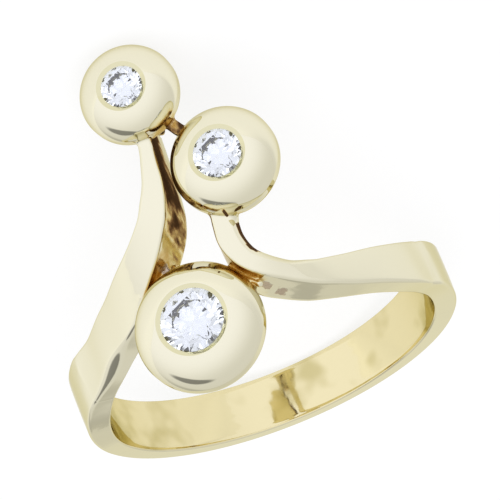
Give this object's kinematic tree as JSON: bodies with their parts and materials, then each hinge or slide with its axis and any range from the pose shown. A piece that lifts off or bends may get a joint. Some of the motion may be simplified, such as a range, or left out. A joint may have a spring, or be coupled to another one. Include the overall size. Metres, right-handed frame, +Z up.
{
  "type": "three stone ring",
  "caption": "Bypass finger ring in polished yellow gold, with three round domed buttons that each hold a round brilliant flush in a bevelled seat.",
  "frame": {"origin": "on the surface the ring lies on, under the middle of the whole ring's box", "axes": "+Z up from that surface; -Y towards the head of the ring with the three stones; +X to the right when the head is looked at from the front. The ring lies on its back edge, so the finger runs up and backwards, from -Y -Z to +Y +Z"},
  "size_m": [0.0192, 0.0264, 0.0149],
  "materials": {
    "gold": "mirror polished yellow gold",
    "diamond": "clear, faceted and polished"
  },
  "bodies": {
    "root": {"ring_body": "gold", "stone_large": "diamond", "stone_medium": "diamond", "stone_small": "diamond"}
  },
  "joints": []
}
